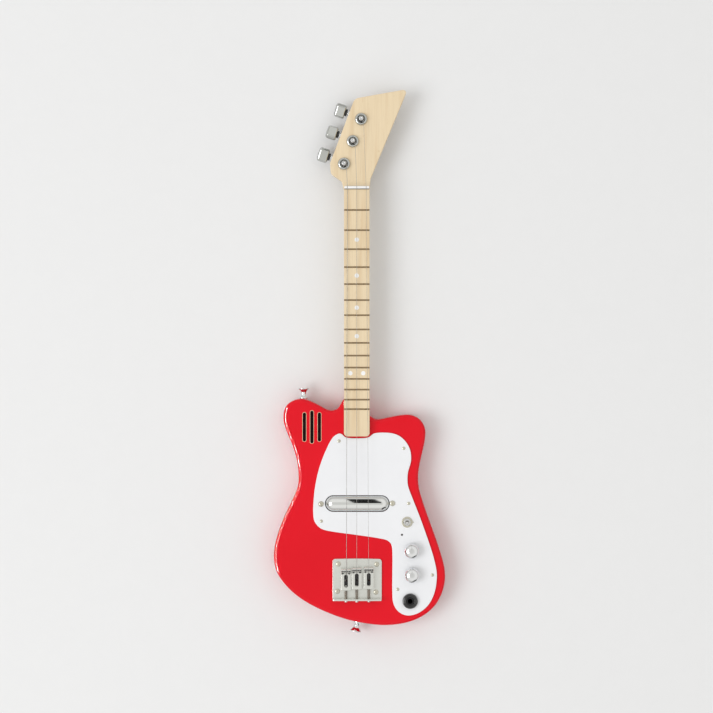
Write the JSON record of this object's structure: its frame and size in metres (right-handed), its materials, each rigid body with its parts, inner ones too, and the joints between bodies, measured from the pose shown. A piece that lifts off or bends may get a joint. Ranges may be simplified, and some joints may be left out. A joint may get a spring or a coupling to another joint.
{
  "type": "toy electric guitar",
  "caption": "Small solid-body electric guitar for a child, with a bolt-on neck, few strings, a pickguard, a tube pickup, and a built-in speaker and battery.",
  "frame": {"origin": "on the flat back face, under the middle of the neck, at the theoretical saddle line", "axes": "+X to the treble side, +Y along the strings to the headstock, +Z from the back out through the strings"},
  "size_m": [0.2355, 0.7475, 0.0575],
  "materials": {
    "red_lacquer": "gloss red polyester lacquer on solid wood",
    "maple": "satin clear coat on pale maple",
    "white_plastic": "polished single-ply sheet",
    "black_plastic": "moulded, fine texture",
    "black_gloss": "polished",
    "chrome": "mirror plated",
    "steel": "plain bright steel",
    "fret_wire": "nickel silver, polished",
    "string_steel": "plain and wound wire",
    "led_lens": "tinted clear lens",
    "circuit_board": "green solder mask",
    "cone_paper": "pressed black paper",
    "battery_case": "plain dark jacket"
  },
  "bodies": {
    "root": {"body": "red_lacquer", "neck": "maple", "fretboard": "maple", "frets": "fret_wire", "nut": "white_plastic", "pickguard": "white_plastic", "toggle_switch_body": "steel", "toggle_nut": "chrome", "power_led": "led_lens", "volume_pot": "steel", "tone_pot": "steel", "jack_socket": "steel", "jack_nut": "black_gloss", "amp_board": "circuit_board", "speaker_frame": "steel", "speaker_cone": "cone_paper", "speaker_cover": "black_plastic", "battery_box": "black_plastic", "battery": "battery_case", "bridge_plate": "chrome", "strap_button_upper": "chrome", "strap_button_lower": "chrome", "neck_screw_1": "steel", "neck_screw_2": "steel", "neck_screw_3": "steel", "neck_screw_4": "steel", "string_1": "string_steel", "tuner_housing_1": "chrome", "tuner_bushing_1": "chrome", "string_2": "string_steel", "tuner_housing_2": "chrome", "tuner_bushing_2": "chrome", "string_3": "string_steel", "tuner_housing_3": "chrome", "tuner_bushing_3": "chrome"},
    "volume_control": {"volume_shaft": "steel", "volume_knob": "chrome"},
    "tone_control": {"tone_shaft": "steel", "tone_knob": "chrome"},
    "toggle": {"toggle_lever": "chrome"},
    "door": {"battery_door": "black_plastic"},
    "pickup": {"pickup_cover": "chrome", "pickup_base": "black_plastic"},
    "pickup_screw_bass_body": {"pickup_screw_bass": "steel"},
    "pickup_screw_treble_body": {"pickup_screw_treble": "steel"},
    "tuner_key_1": {"tuner_button_1": "chrome", "tuner_worm_1": "steel"},
    "tuner_spindle_1": {"tuner_post_1": "steel"},
    "tuner_key_2": {"tuner_button_2": "chrome", "tuner_worm_2": "steel"},
    "tuner_spindle_2": {"tuner_post_2": "steel"},
    "tuner_key_3": {"tuner_button_3": "chrome", "tuner_worm_3": "steel"},
    "tuner_spindle_3": {"tuner_post_3": "steel"},
    "intonation_1": {"intonation_screw_1": "steel"},
    "saddle_1_block": {"saddle_1": "chrome"},
    "intonation_2": {"intonation_screw_2": "steel"},
    "saddle_2_block": {"saddle_2": "chrome"},
    "intonation_3": {"intonation_screw_3": "steel"},
    "saddle_3_block": {"saddle_3": "chrome"}
  },
  "joints": [
    {"name": "volume_turn", "type": "hinge", "parent": "root", "child": "volume_control", "pos_m": [0.0751, 0.0247, 0.0413], "axis": [0, 0, 1], "range_deg": [-150, 150]},
    {"name": "tone_turn", "type": "hinge", "parent": "root", "child": "tone_control", "pos_m": [0.0755, -0.0082, 0.0413], "axis": [0, 0, 1], "range_deg": [-150, 150]},
    {"name": "toggle_tilt", "type": "hinge", "parent": "root", "child": "toggle", "pos_m": [0.069, 0.0636, 0.042], "axis": [1, 0, 0], "range_deg": [-12, 12]},
    {"name": "battery_door_hinge", "type": "hinge", "parent": "root", "child": "door", "pos_m": [-0.0853, 0.025, 0.0013], "axis": [0, 1, 0], "range_deg": [0, 95]},
    {"name": "pickup_screw_bass_turn", "type": "hinge", "parent": "root", "child": "pickup_screw_bass_body", "pos_m": [-0.049, 0.0885, 0.0408], "axis": [0, 0, 1], "range_deg": [-1081, 1081]},
    {"name": "pickup_screw_treble_turn", "type": "hinge", "parent": "root", "child": "pickup_screw_treble_body", "pos_m": [0.0487, 0.0894, 0.0408], "axis": [0, 0, 1], "range_deg": [-1081, 1081]},
    {"name": "pickup_height", "type": "slide", "parent": "root", "child": "pickup", "axis": [0, 0, 1], "range_m": [-0.0015, 0.0015]},
    {"name": "tuner_1_turn", "type": "hinge", "parent": "root", "child": "tuner_key_1", "pos_m": [-0.01612, 0.55937, 0.019], "axis": [-0.9511, 0.309, 0], "range_deg": [-10081, 10081]},
    {"name": "tuner_1_post", "type": "hinge", "parent": "root", "child": "tuner_spindle_1", "pos_m": [-0.0176, 0.5548, 0.03], "axis": [0, 0, 1], "range_deg": [-720, 720]},
    {"name": "tuner_2_turn", "type": "hinge", "parent": "root", "child": "tuner_key_2", "pos_m": [-0.00412, 0.59027, 0.019], "axis": [-0.9511, 0.309, 0], "range_deg": [-10081, 10081]},
    {"name": "tuner_2_post", "type": "hinge", "parent": "root", "child": "tuner_spindle_2", "pos_m": [-0.0056, 0.5857, 0.03], "axis": [0, 0, 1], "range_deg": [-720, 720]},
    {"name": "tuner_3_turn", "type": "hinge", "parent": "root", "child": "tuner_key_3", "pos_m": [0.00738, 0.62057, 0.019], "axis": [-0.9511, 0.309, 0], "range_deg": [-10081, 10081]},
    {"name": "tuner_3_post", "type": "hinge", "parent": "root", "child": "tuner_spindle_3", "pos_m": [0.0059, 0.616, 0.03], "axis": [0, 0, 1], "range_deg": [-720, 720]},
    {"name": "intonation_screw_1_turn", "type": "hinge", "parent": "root", "child": "intonation_1", "pos_m": [-0.0148, -0.0437, 0.0432], "axis": [0, 1, 0], "range_deg": [-2161, 2161]},
    {"name": "saddle_1_slide", "type": "slide", "parent": "root", "child": "saddle_1_block", "axis": [0, 1, 0], "range_m": [-0.003, 0.003], "deforming": ["string_1"]},
    {"name": "intonation_screw_2_turn", "type": "hinge", "parent": "root", "child": "intonation_2", "pos_m": [0, -0.0437, 0.0432], "axis": [0, 1, 0], "range_deg": [-2161, 2161]},
    {"name": "saddle_2_slide", "type": "slide", "parent": "root", "child": "saddle_2_block", "axis": [0, 1, 0], "range_m": [-0.003, 0.003], "deforming": ["string_2"]},
    {"name": "intonation_screw_3_turn", "type": "hinge", "parent": "root", "child": "intonation_3", "pos_m": [0.0164, -0.0437, 0.0432], "axis": [0, 1, 0], "range_deg": [-2161, 2161]},
    {"name": "saddle_3_slide", "type": "slide", "parent": "root", "child": "saddle_3_block", "axis": [0, 1, 0], "range_m": [-0.003, 0.003], "deforming": ["string_3"]}
  ],
  "couplings": [
    {"joint": "pickup_screw_bass_turn", "follows": "pickup_height", "rad_per_m": -12566},
    {"joint": "pickup_screw_treble_turn", "follows": "pickup_height", "rad_per_m": -12566},
    {"joint": "tuner_1_turn", "follows": "tuner_1_post", "ratio": -14},
    {"joint": "tuner_2_turn", "follows": "tuner_2_post", "ratio": -14},
    {"joint": "tuner_3_turn", "follows": "tuner_3_post", "ratio": -14},
    {"joint": "intonation_screw_1_turn", "follows": "saddle_1_slide", "rad_per_m": -12566},
    {"joint": "intonation_screw_2_turn", "follows": "saddle_2_slide", "rad_per_m": -12566},
    {"joint": "intonation_screw_3_turn", "follows": "saddle_3_slide", "rad_per_m": -12566}
  ]
}
